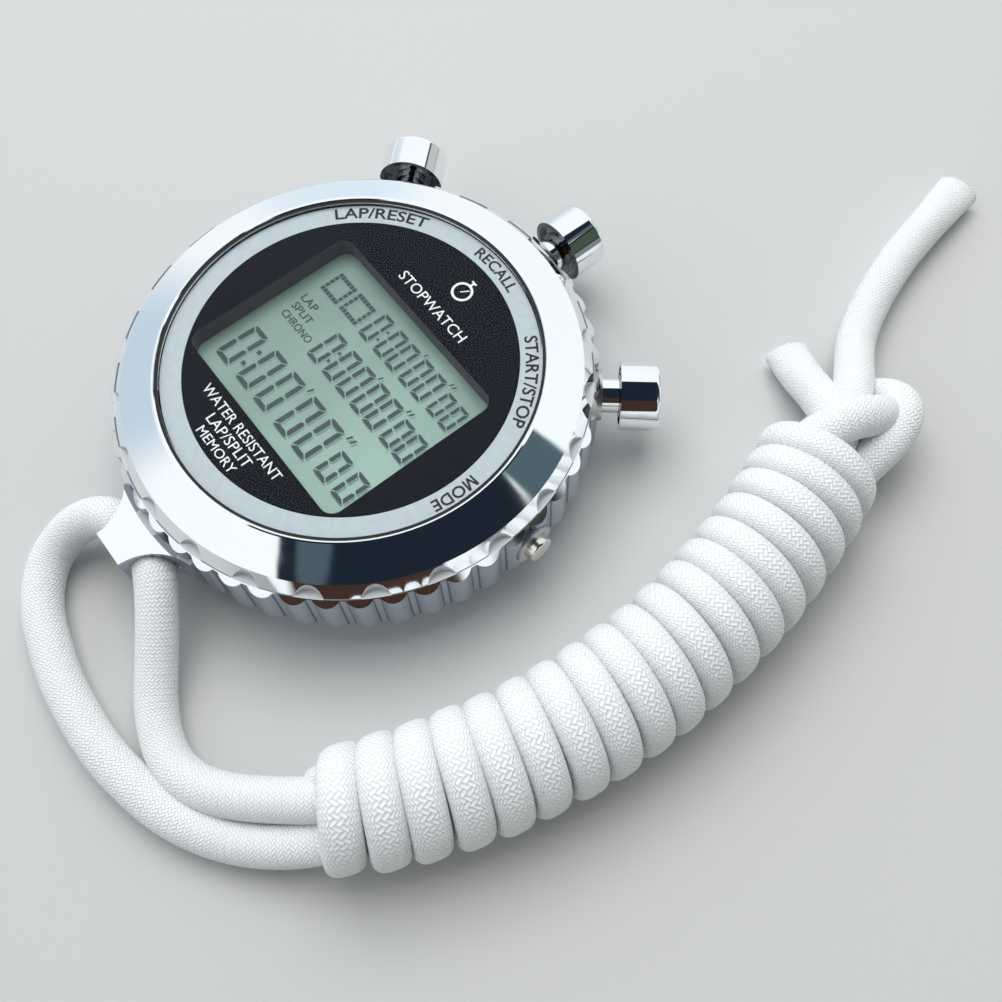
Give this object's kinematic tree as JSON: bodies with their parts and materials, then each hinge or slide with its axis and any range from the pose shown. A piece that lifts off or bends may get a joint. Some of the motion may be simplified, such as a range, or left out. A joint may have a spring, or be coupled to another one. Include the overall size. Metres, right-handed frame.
{
  "type": "digital stopwatch",
  "caption": "Round metal-cased digital stopwatch lying face up, with chrome push buttons, a grip-lobed rim, a display window and a white braided neck cord wound into a hank.",
  "frame": {"origin": "centre of the case back's flat resting face, on the surface that the stopwatch lies on", "axes": "+Z out of the display, +Y to twelve o'clock along the line from the lug to the recall button, +X to three o'clock"},
  "size_m": [0.0944, 0.15, 0.018],
  "materials": {
    "case": "satin plated rim, polished lug",
    "bezel": "mirror chrome",
    "pusher": "mirror chrome",
    "back": "circular brushed",
    "screw": "turned",
    "bush": "turned",
    "rubber": "black nitrile",
    "lens": "clear acrylic",
    "ring": "fine silver print",
    "mask": "black printed",
    "lcd": "grey-green liquid crystal panel",
    "reflector": "matt foil",
    "frame": "moulded",
    "strip": "silicone contact strip",
    "board": "solder mask",
    "resin": "black potting resin",
    "can": "drawn can",
    "battery": "drawn steel cell",
    "contact": "plated spring strip",
    "piezo": "brass disc with ceramic layer",
    "spring": "drawn wire",
    "cord": "white braided polyester"
  },
  "bodies": {
    "case": {"case_body": "case", "bezel": "bezel", "lens_gasket": "rubber", "lens": "lens", "dial_ring": "ring", "dial_mask": "mask", "lcd_panel": "lcd", "lcd_reflector": "reflector", "module_frame": "frame", "zebra_strip_upper": "strip", "zebra_strip_lower": "strip", "circuit_board": "board", "chip_blob": "resin", "quartz_crystal": "can", "battery": "battery", "battery_clip_plus": "contact", "battery_leaf_minus": "contact", "piezo_disc": "piezo", "piezo_spring": "spring", "module_screws": "screw", "case_back": "back", "back_gasket": "rubber", "back_screws": "screw", "bush_start_stop": "bush", "spring_start_stop": "spring", "leaf_start_stop": "contact", "bush_lap_reset": "bush", "spring_lap_reset": "spring", "leaf_lap_reset": "contact", "bush_recall": "bush", "spring_recall": "spring", "leaf_recall": "contact", "bush_mode": "bush", "spring_mode": "spring", "leaf_mode": "contact", "cord_left": "cord", "cord_right": "cord", "cord_hank": "cord", "cord_knot": "cord", "cord_tail_long": "cord", "cord_tail_short": "cord"},
    "button_start_stop": {"pusher_start_stop": "pusher", "seal_start_stop": "rubber", "clip_start_stop": "spring"},
    "button_lap_reset": {"pusher_lap_reset": "pusher", "seal_lap_reset": "rubber", "clip_lap_reset": "spring"},
    "button_recall": {"pusher_recall": "pusher", "seal_recall": "rubber", "clip_recall": "spring"},
    "button_mode": {"pusher_mode": "pusher", "seal_mode": "rubber", "clip_mode": "spring"}
  },
  "joints": [
    {"name": "start_stop_press", "type": "slide", "parent": "case", "child": "button_start_stop", "axis": [-0.6468, -0.7627, 0], "range_m": [0, 0.0015], "stiffness_N_per_m": 1100, "springref_m": -0.0008, "deforming": ["spring_start_stop"]},
    {"name": "lap_reset_press", "type": "slide", "parent": "case", "child": "button_lap_reset", "axis": [0.673, -0.7396, 0], "range_m": [0, 0.0015], "stiffness_N_per_m": 1100, "springref_m": -0.0008, "deforming": ["spring_lap_reset"]},
    {"name": "recall_press", "type": "slide", "parent": "case", "child": "button_recall", "axis": [0.0175, -0.9998, 0], "range_m": [0, 0.0015], "stiffness_N_per_m": 1100, "springref_m": -0.0008, "deforming": ["spring_recall"]},
    {"name": "mode_press", "type": "slide", "parent": "case", "child": "button_mode", "axis": [-0.9903, -0.1392, 0], "range_m": [0, 0.0009], "stiffness_N_per_m": 900, "springref_m": -0.0008, "deforming": ["spring_mode"]}
  ]
}
